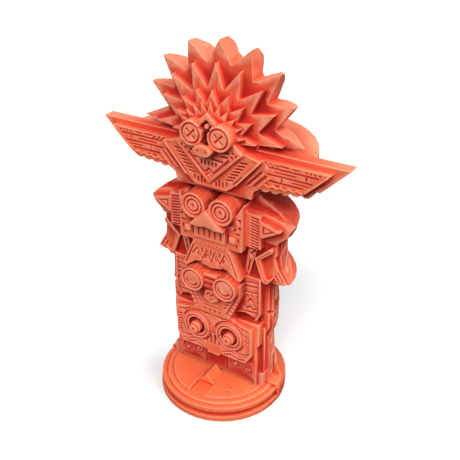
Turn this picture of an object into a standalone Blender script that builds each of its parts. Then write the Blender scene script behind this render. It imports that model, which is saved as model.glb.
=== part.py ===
"""Totem sculpture: a spiked crest, a winged head and three stacked figures on a round plinth.

The front is carved as flat layers, each one step of LAYER in front of the last. The back is
the same outline turned through half a circle, so it is round and plain. Lengths on the
drawing sheet are millimetres at the sculpture's usual height, and follow TOTEM_HEIGHT.
"""

import math

import bmesh
import bpy
from mathutils import Matrix

# Driving sizes, in metres
TOTEM_HEIGHT = 0.1915
LAYER = 0.0036
CREST_THICKNESS = 0.0152
WING_THICKNESS = 0.0070
GROOVE_DEPTH = 0.0009
PLINTH_MARGIN = 0.0065
PLINTH_HEIGHT = 0.0110
STEP_HEIGHT = 0.0009
STEP_TREAD = 0.0034
RIM_SET_BACK = 0.0006
RIM_GROOVE = 0.0026
EDGE_EASE = 0.0005
COLLAR_HEIGHT = 0.0080
COLLAR_WALL = 0.0018
COLLAR_FRONT = 0.0085
RIDGE_LENGTH = 0.0108
RIDGE_WIDTH = 0.0084
RIDGE_HEIGHT = 0.0050
PATH_WIDTH = 0.0100
SEAT_CLEARANCE = 0.0003

# The drawing sheet: height of the carving on it, and the level of its foot
SHEET_HEIGHT = 191.5
SHEET_FOOT = 11.3
SHARE = TOTEM_HEIGHT / SHEET_HEIGHT

# Sizes on the drawing sheet
FOOT_RADIUS = 30.5
SLAB_HALF_WIDTH = 26.4
CREST_CENTRE = 157.0
CREST_SPIKES = ((0.0, 0.99), (21.8, 1.01), (43.5, 1.025), (63.3, 0.975), (88.4, 1.0))
CREST_TIPS = (46.3, 36.0, 24.0)
CREST_VALLEYS = (30.6, 23.6, 16.4)
CREST_TOP_LIFT = 0.145
CREST_SIDE_TAPER = 0.95
FIN_HOLLOW = 0.45
WING_TOP = 154.4
WING_TIP = 70.9
BACK_FULLNESS = 0.9
HEAD_RADIUS = 52.3
HEAD_SETBACK = 8.6
HEAD_UNDERSIDE = 137.0
SLAB_FRONT = 1.89
EYE_SIDES = 16
TURN_STEPS = 16
PLINTH_SIDES = 44
COLLAR_STEPS = 5

CORAL = (0.82, 0.115, 0.055, 1.0)
TERRACOTTA = (0.86, 0.15, 0.06, 1.0)


def clear_scene():
    """Remove whatever the scene holds."""
    for item in list(bpy.data.objects):
        bpy.data.objects.remove(item, do_unlink=True)


def collection(name):
    """Return a new collection linked to the scene."""
    group = bpy.data.collections.new(name)
    bpy.context.scene.collection.children.link(group)
    return group


def material(name, colour, roughness):
    """Return a Principled material."""
    made = bpy.data.materials.new(name)
    made.use_nodes = True
    shader = made.node_tree.nodes["Principled BSDF"]
    shader.inputs["Base Color"].default_value = colour
    shader.inputs["Roughness"].default_value = roughness
    shader.inputs["Metallic"].default_value = 0.0
    return made


def mirrored(half):
    """Close a right-hand outline, listed from top to bottom, with its mirror image."""
    left = [(-x, z) for x, z in reversed(half) if x > 0.0]
    return list(half) + left


def both_sides(points):
    """Return the outline and its mirror image."""
    return [list(points), [(-x, z) for x, z in reversed(points)]]


def circle(cx, cz, radius, sides=EYE_SIDES, squash=1.0):
    """Outline of a circle, or of an ellipse that is squashed in height."""
    turns = [2 * math.pi * k / sides for k in range(sides)]
    return [(cx + radius * math.cos(t), cz + radius * squash * math.sin(t)) for t in turns]


def bar(start, end, width):
    """Outline of a straight bar from start to end."""
    dx, dz = end[0] - start[0], end[1] - start[1]
    length = math.hypot(dx, dz)
    nx, nz = -dz / length * width / 2, dx / length * width / 2
    return [
        (start[0] + nx, start[1] + nz),
        (start[0] - nx, start[1] - nz),
        (end[0] - nx, end[1] - nz),
        (end[0] + nx, end[1] + nz),
    ]


def box(x0, x1, z0, z1):
    """Outline of an upright rectangle."""
    return [(x0, z0), (x1, z0), (x1, z1), (x0, z1)]


def path_bars(points, width):
    """One bar for each stretch of a bent line, each a little longer than its stretch."""
    bars = []
    for a, b in zip(points, points[1:]):
        length = math.dist(a, b)
        ox, oz = (b[0] - a[0]) / length * width * 0.45, (b[1] - a[1]) / length * width * 0.45
        bars.append(bar((a[0] - ox, a[1] - oz), (b[0] + ox, b[1] + oz), width))
    return bars


class Carving:
    """Solids that are joined into one, and cutters that are taken out of it."""

    def __init__(self, name):
        self.name = name
        self.solids = collection(name + "_solids")
        self.cutters = collection(name + "_cutters")

    def keep(self, item, cut):
        """File an object with the solids or the cutters."""
        for group in list(item.users_collection):
            group.objects.unlink(item)
        (self.cutters if cut else self.solids).objects.link(item)
        item.hide_render = True
        item.display_type = "WIRE"
        return item

    def plate(self, outline, front, back, cut=False, hole=None):
        """Upright flat plate: outline on the sheet, y of its front and back in metres."""
        curve = bpy.data.curves.new("plate", "CURVE")
        curve.dimensions = "2D"
        curve.fill_mode = "BOTH"
        curve.extrude = (back - front) / 2
        for loop in (outline, hole):
            if loop is None:
                continue
            spline = curve.splines.new("POLY")
            spline.points.add(len(loop) - 1)
            for point, (x, z) in zip(spline.points, loop):
                point.co = (x * SHARE, (z - SHEET_FOOT) * SHARE, 0.0, 1.0)
            spline.use_cyclic_u = True
        turn = Matrix.Rotation(math.pi / 2, 4, "X")
        place = Matrix.Translation((0.0, (front + back) / 2, PLINTH_HEIGHT + SEAT_CLEARANCE))
        return self.keep(solid_from_curve(curve, place @ turn), cut)

    def plates(self, outlines, front, back, cut=False):
        """Several plates with the same front and back."""
        for outline in outlines:
            self.plate(outline, front, back, cut)

    def groove(self, outlines, face, depth=GROOVE_DEPTH):
        """Cut outlines into the face at y, to the given depth."""
        self.plates(outlines, face - LAYER / 2, face + depth, cut=True)

    def ring_groove(self, cx, cz, outer, inner, face, depth=GROOVE_DEPTH):
        """Cut a round groove between two radii into the face at y."""
        self.plate(circle(cx, cz, outer), face - LAYER / 2, face + depth, True, circle(cx, cz, inner))

    def finish(self, paint, group):
        """Join the solids, take out the cutters and hand back the finished object."""
        items = list(self.solids.objects)
        base = items[0]
        self.solids.objects.unlink(base)
        group.objects.link(base)
        base.name = self.name
        base.data.name = self.name
        base.hide_render = False
        base.display_type = "TEXTURED"
        join = base.modifiers.new("join", "BOOLEAN")
        join.operation = "UNION"
        join.operand_type = "COLLECTION"
        join.collection = self.solids
        if self.cutters.objects:
            cut = base.modifiers.new("cut", "BOOLEAN")
            cut.operation = "DIFFERENCE"
            cut.operand_type = "COLLECTION"
            cut.collection = self.cutters
        base.data.materials.clear()
        base.data.materials.append(paint)
        return base


def solid_from_curve(curve, matrix):
    """Turn a filled curve into a closed mesh object with the matrix applied."""
    source = bpy.data.objects.new("outline", curve)
    bpy.context.scene.collection.objects.link(source)
    bpy.context.view_layer.update()
    mesh = bpy.data.meshes.new_from_object(source.evaluated_get(bpy.context.evaluated_depsgraph_get()))
    bpy.data.objects.remove(source, do_unlink=True)
    work = bmesh.new()
    work.from_mesh(mesh)
    bmesh.ops.remove_doubles(work, verts=work.verts, dist=1e-6)
    bmesh.ops.transform(work, matrix=matrix, verts=work.verts)
    bmesh.ops.recalc_face_normals(work, faces=work.faces)
    work.to_mesh(mesh)
    work.free()
    item = bpy.data.objects.new("solid", mesh)
    bpy.context.scene.collection.objects.link(item)
    return item


def half_turned(profile, steps, fullness=1.0, front=0.0):
    """Turn a right-hand profile (r, z in metres) through half a circle, flat at y = front.

    Fullness is how far the back reaches, as a share of the radius.
    """
    work = bmesh.new()
    verts = [work.verts.new((r, 0.0, z)) for r, z in profile]
    for a, b in zip(verts, verts[1:]):
        work.edges.new((a, b))
    line = work.verts[:] + work.edges[:]
    bmesh.ops.spin(work, geom=line, cent=(0, 0, 0), axis=(0, 0, 1), angle=math.pi, steps=steps)
    bmesh.ops.remove_doubles(work, verts=work.verts, dist=1e-6)
    rim = [edge for edge in work.edges if edge.is_boundary]
    bmesh.ops.contextual_create(work, geom=rim)
    bmesh.ops.scale(work, vec=(1.0, fullness, 1.0), verts=work.verts)
    bmesh.ops.translate(work, vec=(0.0, front, 0.0), verts=work.verts)
    bmesh.ops.recalc_face_normals(work, faces=work.faces)
    mesh = bpy.data.meshes.new("turned")
    work.to_mesh(mesh)
    work.free()
    item = bpy.data.objects.new("turned", mesh)
    bpy.context.scene.collection.objects.link(item)
    return item


def turned(profile, steps=48):
    """Turn a profile (r, z in metres), listed from top to bottom, right round the z axis."""
    mesh = bpy.data.meshes.new("turned")
    work = bmesh.new()
    verts = [work.verts.new((r, 0.0, z)) for r, z in profile]
    for a, b in zip(verts, verts[1:]):
        work.edges.new((a, b))
    line = work.verts[:] + work.edges[:]
    bmesh.ops.spin(work, geom=line, cent=(0, 0, 0), axis=(0, 0, 1), angle=2 * math.pi, steps=steps)
    bmesh.ops.remove_doubles(work, verts=work.verts, dist=1e-6)
    bmesh.ops.recalc_face_normals(work, faces=work.faces)
    work.to_mesh(mesh)
    work.free()
    item = bpy.data.objects.new("turned", mesh)
    bpy.context.scene.collection.objects.link(item)
    return item


def level(number):
    """Depth of a layer's front face: layer 0 is the outline, higher layers stand in front."""
    return -number * LAYER


def body_outline():
    """Right-hand side outline of the column, from the neck down to the foot."""
    neck = [(0.0, 139.0), (22.5, 139.0), (22.5, 130.0)]
    ear = [(24.6, 127.6), (29.6, 125.0), (34.4, 121.8), (39.0, 117.8), (41.8, 114.4)]
    ear += [(40.8, 110.6), (36.4, 106.4)]
    back_wall = [(36.2, 105.4), (35.9, 97.4), (36.8, 89.6)]
    tail = [(41.6, 81.6), (37.2, 80.3), (32.0, 80.5)]
    waist = [(32.0, 70.0), (32.8, 61.8), (31.0, 61.2), (31.0, 60.0)]
    lip = [(32.5, 59.4), (32.4, 50.0), (31.6, 46.6), (29.4, 44.4)]
    shin = [(30.0, 43.0), (31.0, 28.0)]
    foot = [(FOOT_RADIUS, 24.6), (FOOT_RADIUS, SHEET_FOOT), (0.0, SHEET_FOOT)]
    return neck + ear + back_wall + tail + waist + lip + shin + foot


def add_back(totem):
    """The round plain back: the column's outline and the head's drum."""
    foot = PLINTH_HEIGHT + SEAT_CLEARANCE
    profile = [(r * SHARE, foot + (z - SHEET_FOOT) * SHARE) for r, z in body_outline()]
    totem.keep(half_turned(profile, TURN_STEPS, BACK_FULLNESS), False)
    radius, setback = HEAD_RADIUS * SHARE, HEAD_SETBACK * SHARE
    first = math.asin((setback + LAYER / 4) / radius)
    curve = bpy.data.curves.new("drum", "CURVE")
    curve.dimensions = "2D"
    curve.fill_mode = "BOTH"
    curve.extrude = (WING_TOP - HEAD_UNDERSIDE) * SHARE / 2
    spline = curve.splines.new("POLY")
    spline.points.add(TURN_STEPS)
    for k, point in enumerate(spline.points):
        angle = first + (math.pi - 2 * first) * k / TURN_STEPS
        point.co = (radius * math.cos(angle), radius * math.sin(angle) - setback, 0.0, 1.0)
    spline.use_cyclic_u = True
    middle = foot + ((WING_TOP + HEAD_UNDERSIDE) / 2 - SHEET_FOOT) * SHARE
    totem.keep(solid_from_curve(curve, Matrix.Translation((0.0, 0.0, middle))), False)


def spiked_fan(tip, valley, base, lift=0.0):
    """Outline of one crest layer: spikes on a half circle, closed off below at the base level.

    Lift is how much shallower the valleys get towards the top, as a share of their radius.
    """
    half = []
    for k, (angle, reach) in enumerate(CREST_SPIKES):
        a = math.radians(angle)
        half.append((tip * reach * math.sin(a), CREST_CENTRE + tip * reach * math.cos(a)))
        after = CREST_SPIKES[k + 1][0] if k + 1 < len(CREST_SPIKES) else angle + 4.0
        middle = math.radians((angle + after) / 2)
        reach = valley * (1.0 + lift * math.cos(middle) ** 2)
        half.append((reach * math.sin(middle), CREST_CENTRE + reach * math.cos(middle)))
    half.append((valley * 0.9, base))
    return mirrored(half)


def below_spike(angle):
    """How far an angle from the top lies below the spike above it, up to 1 in the middle of a gap.

    The upper side of each spike stays fuller, so the fins overlap like shingles.
    """
    axes = [spike[0] for spike in CREST_SPIKES]
    for low, high in zip(axes, axes[1:]):
        if low <= angle <= high:
            share = (angle - low) / (high - low)
            return 2.0 * share if share <= 0.5 else 0.7 * (1.0 - share)
    return 0.0


def add_crest(totem):
    """Three fans of spikes; the back one is deep, rounded off behind and hollowed between its fins."""
    outline = spiked_fan(CREST_TIPS[0], CREST_VALLEYS[0], 150.0, CREST_TOP_LIFT)
    back_fan = totem.plate(outline, level(0), CREST_THICKNESS)
    edge = []
    for k in range(4):
        t = math.radians(90.0 * k / 3)
        edge.append((36.5 + 11.0 * math.cos(t), CREST_THICKNESS * math.sin(t)))
    profile = [(0.0, CREST_THICKNESS)] + [(r * SHARE, y) for r, y in reversed(edge)]
    profile += [(edge[0][0] * SHARE, level(1)), (0.0, level(1))]
    pillow = turned(profile, 60)
    for vert in pillow.data.vertices:
        x, upward, depth = vert.co.x, -vert.co.y, vert.co.z
        if depth > 0.0:
            angle = math.degrees(math.atan2(abs(x), upward))
            side = 1.0 - CREST_SIDE_TAPER * min(1.0, abs(x) / (CREST_TIPS[0] * SHARE)) ** 3
            vert.co.z = depth * side * (1.0 - FIN_HOLLOW * below_spike(angle))
    centre = PLINTH_HEIGHT + SEAT_CLEARANCE + (CREST_CENTRE - SHEET_FOOT) * SHARE
    pillow.data.transform(Matrix.Translation((0.0, 0.0, centre)) @ Matrix.Rotation(-math.pi / 2, 4, "X"))
    totem.keep(pillow, True)
    totem.cutters.objects.unlink(pillow)
    trim = back_fan.modifiers.new("round", "BOOLEAN")
    trim.operation = "INTERSECT"
    trim.object = pillow
    totem.plate(spiked_fan(CREST_TIPS[1], CREST_VALLEYS[1], 149.0), level(1), level(-0.31))
    totem.plate(spiked_fan(CREST_TIPS[2], CREST_VALLEYS[2], 148.0), level(2), level(-0.53))


def scallops(x0, x1, z0, z1, count, drop):
    """A row of round scallops between two points, as a list of points."""
    points = []
    steps = 3
    for k in range(count * steps + 1):
        t = k / (count * steps)
        dip = abs(math.sin(math.pi * count * t)) * drop
        points.append((x0 + (x1 - x0) * t, z0 + (z1 - z0) * t - dip))
    return points


def add_wings(totem):
    """Two wing layers with slanted ends and scalloped lower edges, and the feather grooves."""
    rear = [(0.0, WING_TOP), (WING_TIP, WING_TOP), (56.2, 139.8), (53.8, 140.4)]
    rear += scallops(52.4, 30.0, 137.2, 134.4, 4, 1.6) + [(24.0, 132.6), (22.8, 130.4), (0.0, 130.4)]
    totem.plate(mirrored(rear), level(1), level(1) + WING_THICKNESS)
    front = [(0.0, 151.6), (62.8, 151.6), (49.6, 139.0)]
    front += scallops(48.2, 27.0, 138.2, 136.4, 4, 1.3) + [(23.0, 133.6), (22.0, 129.2), (0.0, 129.2)]
    totem.plate(mirrored(front), level(2), level(-0.14))
    for height, start, end in ((148.7, 31.0, 57.0), (145.2, 30.0, 54.0), (141.9, 31.0, 49.5)):
        totem.groove(both_sides(box(start, end, height - 0.35, height + 0.35)), level(2))


def add_head(totem):
    """Kite-shaped face with eyes, snout and mouth, and the folded arms beside it."""
    shoulder = [(0.0, 158.0), (17.0, 154.2), (28.2, 151.0), (12.8, 134.4), (9.0, 131.6), (0.0, 131.6)]
    totem.plate(mirrored(shoulder), level(2.67), level(-0.64))
    face = level(3.08)
    kite = [(0.0, 170.2), (19.2, 153.1), (0.0, 134.2)]
    totem.plate(mirrored(kite), face, level(-0.75))
    brow = [(0.0, 167.4), (3.6, 164.0), (1.7, 162.0), (1.7, 152.0)]
    totem.plate(mirrored(brow), face - LAYER, level(2.17), cut=True)
    totem.plate(circle(0.0, 164.6, 1.0, 8), face - LAYER / 3, level(1))
    for side in (-1, 1):
        totem.plate(circle(side * 7.9, 160.3, 6.5), level(4), level(0.81))
        totem.ring_groove(side * 7.9, 160.3, 5.2, 4.6, level(4))
    totem.plate(circle(0.0, 153.5, 5.1, EYE_SIDES, 0.57), level(4.78), level(2.86))
    nostrils = [circle(side * 2.3, 153.5, 0.7, 6) for side in (-1, 1)]
    totem.groove(nostrils, level(4.78))
    mouth = [(13.5, 148.6), (2.4, 138.0), (0.0, 140.2), (-2.4, 138.0), (-13.5, 148.6)]
    totem.groove(path_bars(mouth, 0.8), face)
    arm_lines = [bar((25.0, 148.0), (12.8, 136.0), 0.8), bar((26.8, 150.4), (22.0, 150.4), 0.7)]
    for line in arm_lines:
        totem.groove(both_sides(line), level(2.67))
    for line in (bar((27.5, 145.6), (19.0, 136.4), 0.9), bar((30.0, 144.0), (23.0, 136.6), 0.9)):
        totem.groove(both_sides(line), level(2))


def add_owl(totem):
    """Second figure: round eyes, beak, teeth, ear horns, hatched columns and a bib."""
    rim = [(0.0, 128.6), (21.0, 121.8), (32.7, 120.2), (38.4, 118.4), (42.0, 114.6), (40.4, 110.8)]
    rim += [(36.0, 107.0), (35.0, 105.2), (0.0, 105.2)]
    totem.plate(mirrored(rim), level(0.94), level(-0.86))
    column = [(0.0, 129.0), (15.0, 128.0), (20.0, 121.4), (27.4, 121.2), (27.4, 102.0), (0.0, 102.0)]
    totem.plate(mirrored(column), level(1.94), level(-0.97))
    horn = [(27.0, 118.6), (38.6, 115.2), (28.6, 109.4), (27.0, 109.2)]
    totem.plates(both_sides(horn), level(2.03), level(-0.36))
    totem.groove(both_sides([(28.6, 116.4), (35.6, 114.6), (28.6, 111.2)]), level(2.03))
    plate = [(0.0, 120.0), (14.4, 118.0), (18.8, 125.6), (18.8, 99.6), (0.0, 99.6)]
    totem.plate(mirrored(plate), level(3), level(-1.08))
    for side in (-1, 1):
        centre = side * 8.2
        totem.plate(circle(centre, 121.2, 7.0), level(3.92), level(0.69))
        totem.ring_groove(centre, 121.2, 5.6, 4.9, level(3.92))
        totem.groove([circle(centre, 121.2, 0.9, 6)], level(3.92))
    beak = [(0.0, 120.7), (10.2, 111.0), (5.4, 110.4), (0.0, 111.6)]
    totem.plate(mirrored(beak), level(4.31), level(2.75))
    teeth = [(0.0, 109.8), (9.4, 109.6), (9.4, 101.8), (0.0, 101.8)]
    totem.plate(mirrored(teeth), level(3.28), level(2.69))
    for k in range(-2, 3):
        totem.groove([box(k * 3.3 - 0.45, k * 3.3 + 0.45, 103.0, 108.8)], level(3.28))
    for side in (-1, 1):
        totem.plate(box(*sorted((side * 11.8, side * 15.2)), 104.0, 107.4), level(3.31), level(2.64))
    for k in range(5):
        height = 118.0 - k * 3.3
        totem.groove(both_sides(bar((21.6, height), (26.4, height - 0.7), 1.1)), level(1.94))
    bib = [(0.0, 99.4), (10.7, 99.3), (18.1, 81.8), (15.8, 81.6), (9.5, 86.4), (0.0, 84.4)]
    totem.plate(mirrored(bib), level(3.03), level(-1.19))
    totem.groove(path_bars([(-9.2, 97.0), (9.2, 97.0)], 0.7), level(3.03))
    zigzag = [(-11.6, 90.6), (-8.4, 94.6), (-5.4, 88.4), (-2.4, 94.8), (0.0, 87.8)]
    totem.groove(path_bars(zigzag + [(-x, z) for x, z in reversed(zigzag[:-1])], 0.8), level(3.03))


def add_claws(totem):
    """Folded claws and feather tips at the second figure's sides."""
    side_plate = [(0.0, 104.6), (34.4, 104.6), (34.4, 97.6), (33.4, 96.6), (35.2, 89.8), (40.4, 82.0)]
    totem.plate(mirrored(side_plate + [(36.2, 80.9), (0.0, 80.9)]), level(0.64), level(-1.31))
    claw = [(23.2, 94.8), (32.6, 103.4), (33.4, 102.4), (33.4, 84.6), (30.6, 81.2), (28.2, 81.2)]
    totem.plates(both_sides(claw), level(1.44), level(-0.44))
    hollow = [(26.2, 94.8), (33.8, 101.2), (33.8, 86.2), (31.0, 83.8), (29.6, 84.4)]
    totem.groove(both_sides(hollow), level(1.44), LAYER * 2 / 3)
    thumb = [(27.4, 95.6), (32.8, 98.0), (32.8, 95.4)]
    totem.plates(both_sides(thumb), level(1.33), level(0))
    finger = [(28.9, 90.4), (32.8, 91.6), (32.8, 88.6), (30.2, 87.4)]
    totem.plates(both_sides(finger), level(1.33), level(0))
    inner = [(19.4, 101.4), (24.6, 101.4), (21.4, 90.0), (19.6, 82.6), (16.8, 82.6)]
    totem.plates(both_sides(inner), level(1.17), level(-0.58))


def add_goggle_figure(totem):
    """Third figure: goggles on straps, cheeks and a tapered muzzle."""
    band = [(0.0, 82.4), (30.4, 82.4), (30.6, 61.9), (29.2, 61.4), (29.2, 60.0), (30.8, 59.4)]
    band += [(31.0, 50.6), (29.4, 46.8), (0.0, 46.8)]
    totem.plate(mirrored(band), level(0.42), level(-1.42))
    cheek = [(12.0, 82.2), (27.2, 82.8), (27.2, 60.0), (24.6, 54.4), (12.0, 56.8)]
    totem.plates(both_sides(cheek), level(1.39), level(-0.47))
    for height in (75.6, 78.4):
        totem.groove(both_sides(bar((15.6, height), (26.4, height + 1.6), 0.8)), level(1.39))
    totem.groove(both_sides(bar((15.6, 72.0), (26.6, 73.4), 0.8)), level(1.39))
    totem.groove(both_sides([(17.6, 65.0), (21.0, 69.4), (24.4, 65.0), (21.0, 67.2)]), level(1.39))
    brow = [(0.0, 81.2), (8.0, 81.6), (17.4, 78.0), (17.4, 70.2), (10.7, 54.1), (0.0, 54.1)]
    totem.plate(mirrored(brow), level(2.94), level(-0.69))
    for side in (-1, 1):
        centre = side * 10.1
        totem.plate(circle(centre, 75.8, 6.9), level(4), level(1.11))
        totem.ring_groove(centre, 75.8, 5.8, 5.1, level(4))
    for height in (72.9, 76.4, 79.9):
        totem.plate(box(-4.0, 4.0, height - 1.0, height + 1.0), level(3.36), level(2.81))
    totem.groove([bar((-14.6, 68.4), (-9.0, 57.0), 0.8), bar((14.6, 68.4), (9.0, 57.0), 0.8)], level(2.94))
    totem.plate(mirrored([(0.0, 70.6), (3.4, 69.6), (4.6, 64.8), (0.0, 62.0)]), level(3.25), level(2.67))
    totem.groove([box(-6.2, 6.2, 58.6, 59.6)], level(2.94))


def add_lower_figure(totem):
    """Fourth figure: deep ringed eyes with pupils, a nose bridge and teeth over a plain foot."""
    slab = [(0.0, 53.8), (27.6, 53.8), (27.6, 40.0), (26.0, 38.6), (SLAB_HALF_WIDTH, SHEET_FOOT)]
    slab.append((0.0, SHEET_FOOT))
    totem.plate(mirrored(slab), level(SLAB_FRONT), level(-1.53))
    shin = [(0.0, 50.2), (29.2, 50.2), (29.2, SHEET_FOOT + 0.5), (0.0, SHEET_FOOT + 0.5)]
    totem.plate(mirrored(shin), level(0.83), level(-1.64))
    face = level(2.86)
    plate = [(0.0, 54.6), (9.0, 54.6), (24.4, 51.4), (24.4, 33.0), (21.0, 27.6), (4.0, 27.6)]
    plate += [(4.0, 25.6), (0.0, 25.6)]
    totem.plate(mirrored(plate), face, level(-0.81))
    for side in (-1, 1):
        centre = side * 10.6
        totem.plate(circle(centre, 42.4, 8.4), face - LAYER / 6, level(1))
        totem.ring_groove(centre, 42.4, 7.4, 6.7, face - LAYER / 6)
        well = (circle(centre, 42.4, 5.6), face - LAYER, level(2.11), True, circle(side * 10.9, 41.6, 3.4))
        totem.plate(*well)
        totem.plate(circle(side * 10.9, 41.6, 3.4), level(3.94), face + LAYER / 2)
        totem.groove([circle(side * 10.9, 41.6, 0.8, 6)], level(3.94))
    for k in range(-1, 3):
        x = (k - 0.5) * 2.6
        totem.groove([box(x - 0.3, x + 0.3, 33.4, 40.2)], face)
    totem.groove([box(-5.6, 5.6, 40.6, 41.4)], face)
    for k in range(3):
        height = 44.6 - k * 3.6
        totem.groove(both_sides(bar((20.6, height), (23.6, height - 0.5), 1.1)), face)
    curl = [(22.0, 32.4), (17.0, 30.6), (12.0, 32.4), (6.0, 30.0)]
    for line in path_bars(curl, 0.8):
        totem.groove(both_sides(line), face)
    totem.plates(both_sides(box(24.2, 29.8, SHEET_FOOT + 0.2, 20.0)), level(1.56), level(0))


def add_totem(paint, group):
    """The whole sculpture above the plinth, as one casting."""
    totem = Carving("totem")
    add_back(totem)
    add_crest(totem)
    add_wings(totem)
    add_head(totem)
    add_owl(totem)
    add_claws(totem)
    add_goggle_figure(totem)
    add_lower_figure(totem)
    return totem.finish(paint, group)


def low_profile(radius):
    """Profile of the plinth below the collar: a stepped floor, a grooved rim and an eased foot."""
    height, step = PLINTH_HEIGHT, STEP_HEIGHT
    upper = radius - RIM_SET_BACK
    return [
        (0.0, height),
        (upper - 2 * STEP_TREAD, height),
        (upper - 2 * STEP_TREAD, height - step),
        (upper - STEP_TREAD, height - step),
        (upper - STEP_TREAD, height - 2 * step),
        (upper, height - 2 * step),
        (upper, height * 0.60),
        (radius - RIM_GROOVE, height * 0.56),
        (radius - RIM_GROOVE, height * 0.36),
        (radius, height * 0.32),
        (radius, EDGE_EASE),
        (radius - EDGE_EASE, 0.0),
        (0.0, 0.0),
    ]


def collar_profile(radius, top_radius):
    """Profile of the flared collar, from its flat top down to just above the floor."""
    height = PLINTH_HEIGHT
    start, end = height * 0.8, height + COLLAR_HEIGHT
    profile = [(0.0, end)]
    for k in range(COLLAR_STEPS + 1):
        share = k / COLLAR_STEPS
        flare = share ** 1.25
        profile.append((top_radius + (radius - top_radius) * flare, end - (end - start) * share))
    inner = radius - RIM_GROOVE / 2
    return profile + [(radius, EDGE_EASE * 2), (inner, EDGE_EASE * 2), (inner, height / 4), (0.0, height / 4)]


def add_plinth(paint, group):
    """Round stepped plinth with a domed collar behind, and a ridge block and a path in front."""
    plinth = Carving("plinth")
    foot, height = FOOT_RADIUS * SHARE, PLINTH_HEIGHT
    radius = foot + PLINTH_MARGIN
    plinth.keep(turned(low_profile(radius - EDGE_EASE), PLINTH_SIDES), False)
    collar = half_turned(collar_profile(radius, foot + COLLAR_WALL), PLINTH_SIDES // 2)
    for vert in collar.data.vertices:
        rise = max(0.0, (vert.co.z - height * 0.8) / (COLLAR_HEIGHT + height * 0.2))
        vert.co.y *= 1.0 - (1.0 - BACK_FULLNESS) * rise
    plinth.keep(collar, False)
    tall = height + 2 * COLLAR_HEIGHT
    plinth.keep(block(-2 * radius, 2 * radius, -2 * radius, COLLAR_FRONT, height, tall), True)
    seat = foot + SEAT_CLEARANCE
    socket = [(0.0, tall), (seat, tall), (seat, height), (0.0, height)]
    plinth.keep(half_turned(socket, TURN_STEPS, BACK_FULLNESS, SEAT_CLEARANCE), True)
    ridge_back = level(SLAB_FRONT) - SEAT_CLEARANCE
    ridge_front = ridge_back - RIDGE_LENGTH
    path_end = radius - RIM_SET_BACK - 2 * STEP_TREAD
    half = PATH_WIDTH / 2
    plinth.keep(block(-half, half, -path_end, ridge_front, height - STEP_HEIGHT, tall), True)
    base = plinth.finish(paint, group)
    ridge = ridge_block(ridge_front, ridge_back)
    ridge.hide_render = True
    join = base.modifiers.new("ridge", "BOOLEAN")
    join.operation = "UNION"
    join.object = ridge
    return base


def ridge_block(front, back):
    """Roof-shaped block on the plinth's floor, between two values of y."""
    floor, half = PLINTH_HEIGHT, RIDGE_WIDTH / 2
    curve = bpy.data.curves.new("ridge", "CURVE")
    curve.dimensions = "2D"
    curve.fill_mode = "BOTH"
    curve.extrude = (back - front) / 2
    spline = curve.splines.new("POLY")
    corners = [(-half, floor - STEP_HEIGHT * 2), (half, floor - STEP_HEIGHT * 2), (half, floor)]
    corners += [(0.0, floor + RIDGE_HEIGHT), (-half, floor)]
    spline.points.add(len(corners) - 1)
    for point, (x, z) in zip(spline.points, corners):
        point.co = (x, z, 0.0, 1.0)
    spline.use_cyclic_u = True
    place = Matrix.Translation((0.0, (front + back) / 2, 0.0)) @ Matrix.Rotation(math.pi / 2, 4, "X")
    item = solid_from_curve(curve, place)
    item.display_type = "WIRE"
    return item


def block(x0, x1, y0, y1, z0, z1):
    """A box between two corners."""
    work = bmesh.new()
    middle = Matrix.Translation(((x0 + x1) / 2, (y0 + y1) / 2, (z0 + z1) / 2))
    bmesh.ops.create_cube(work, size=1.0, matrix=middle @ Matrix.Diagonal((x1 - x0, y1 - y0, z1 - z0, 1.0)))
    mesh = bpy.data.meshes.new("block")
    work.to_mesh(mesh)
    work.free()
    item = bpy.data.objects.new("block", mesh)
    bpy.context.scene.collection.objects.link(item)
    return item


def main():
    """Build the plinth and the totem."""
    clear_scene()
    parts = collection("totem_sculpture")
    coral = material("coral_resin", CORAL, 0.35)
    add_totem(coral, parts)
    add_plinth(material("plinth_resin", TERRACOTTA, 0.35), parts)


main()
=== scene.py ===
"""Looks of the totem sculpture: its fine carving, softened cast edges, coral resin and a plain studio.

Each figure adds raised strokes and sunk grooves to the casting that stands for its solid. Lengths
on the carving's drawing sheet are millimetres, with x across and z up, as seen from the front.
"""

import logging
import math
from dataclasses import dataclass, field
from enum import Enum
from typing import Iterable, Sequence

import bmesh
import bpy
import numpy as np
from mathutils import Matrix, Vector
from mathutils.bvhtree import BVHTree

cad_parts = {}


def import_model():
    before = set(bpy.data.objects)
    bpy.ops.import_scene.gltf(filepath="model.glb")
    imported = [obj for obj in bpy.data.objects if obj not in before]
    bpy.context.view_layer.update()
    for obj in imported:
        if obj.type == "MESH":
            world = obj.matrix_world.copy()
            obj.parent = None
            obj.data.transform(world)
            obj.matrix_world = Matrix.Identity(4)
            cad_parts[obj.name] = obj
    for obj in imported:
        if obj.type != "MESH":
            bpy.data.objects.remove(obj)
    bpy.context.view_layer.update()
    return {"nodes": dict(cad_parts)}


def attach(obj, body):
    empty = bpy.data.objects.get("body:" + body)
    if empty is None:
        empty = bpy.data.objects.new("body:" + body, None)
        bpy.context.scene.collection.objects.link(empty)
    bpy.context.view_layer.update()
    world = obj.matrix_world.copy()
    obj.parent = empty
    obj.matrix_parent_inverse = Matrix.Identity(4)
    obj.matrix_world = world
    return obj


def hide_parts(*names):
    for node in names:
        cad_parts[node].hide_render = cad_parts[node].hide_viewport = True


LOG = logging.getLogger("totem")

Point = tuple[float, float]
Outline = list[Point]
Span = tuple[float, float]


class Facing(Enum):
    """Which way a carved face looks."""

    FRONT = "front"
    TOP = "top"
    RIGHT = "right"
    LEFT = "left"


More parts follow.
